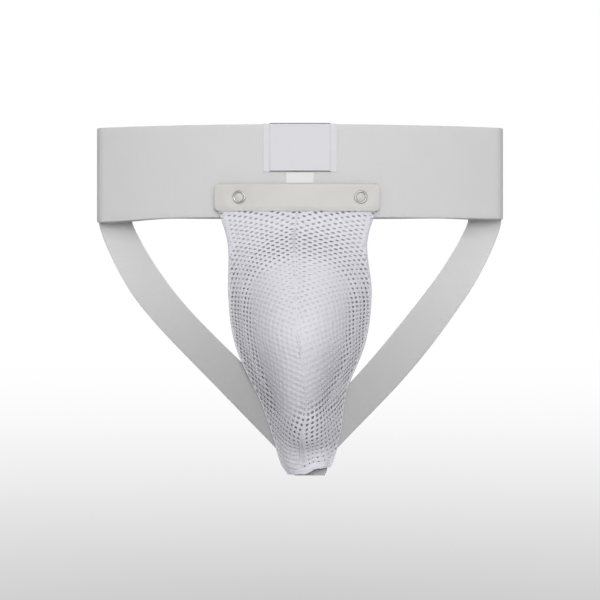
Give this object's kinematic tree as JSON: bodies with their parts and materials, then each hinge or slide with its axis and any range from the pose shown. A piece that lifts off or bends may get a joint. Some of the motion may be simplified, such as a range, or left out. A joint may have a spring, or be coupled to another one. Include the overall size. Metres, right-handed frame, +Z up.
{
  "type": "groin protector",
  "caption": "Groin protector with a wide elastic waistband, leg straps and a snap-fastened mesh pouch that holds a removable hard cup.",
  "frame": {"origin": "middle of the waistband loop, at half its height", "axes": "+Z up along the wearer's body, the front of the pouch faces -Y, +X is to the right as seen from the front"},
  "size_m": [0.345, 0.1578, 0.292],
  "materials": {
    "waist_elastic": "white ribbed woven elastic",
    "strap_elastic": "white ribbed woven elastic",
    "label_weave": "white woven label with folded edges",
    "tag_weave": "white woven tag",
    "strip_vinyl": "warm white vinyl with a fine grain",
    "snap_nickel": "nickel-plated steel",
    "pouch_mesh": "white open sports mesh",
    "lining_knit": "white fine knit",
    "binding_tape": "white woven tape",
    "cup_plastic": "white moulded plastic",
    "rim_rubber": "soft pale grey rubber"
  },
  "bodies": {
    "belt": {"waistband": "waist_elastic", "front_label": "label_weave", "size_tag": "tag_weave", "snap_studs": "snap_nickel", "snap_post_rings": "snap_nickel", "pouch_lining": "lining_knit", "edge_tape_left": "binding_tape", "edge_tape_right": "binding_tape", "leg_strap_left": "strap_elastic", "leg_strap_right": "strap_elastic", "crotch_tab": "binding_tape"},
    "flap": {"closure_strip": "strip_vinyl", "snap_ring_caps": "snap_nickel", "snap_sockets": "snap_nickel", "mesh_panel_left": "pouch_mesh", "mesh_panel_right": "pouch_mesh", "centre_seam_tape": "binding_tape"},
    "cup": {"cup_shell": "cup_plastic", "cup_rim_pad": "rim_rubber"}
  },
  "joints": [
    {"name": "flap_open", "type": "hinge", "parent": "belt", "child": "flap", "pos_m": [0, -0.0512, -0.253], "axis": [1, 0, 0], "range_deg": [0, 60]},
    {"name": "cup_slide", "type": "slide", "parent": "belt", "child": "cup", "axis": [0, 0, 1], "range_m": [0, 0.19], "deforming": ["pouch_lining"]}
  ],
  "couplings": [
    {"joint": "cup_slide", "follows": "flap_open", "m_per_rad": 0.1814}
  ]
}
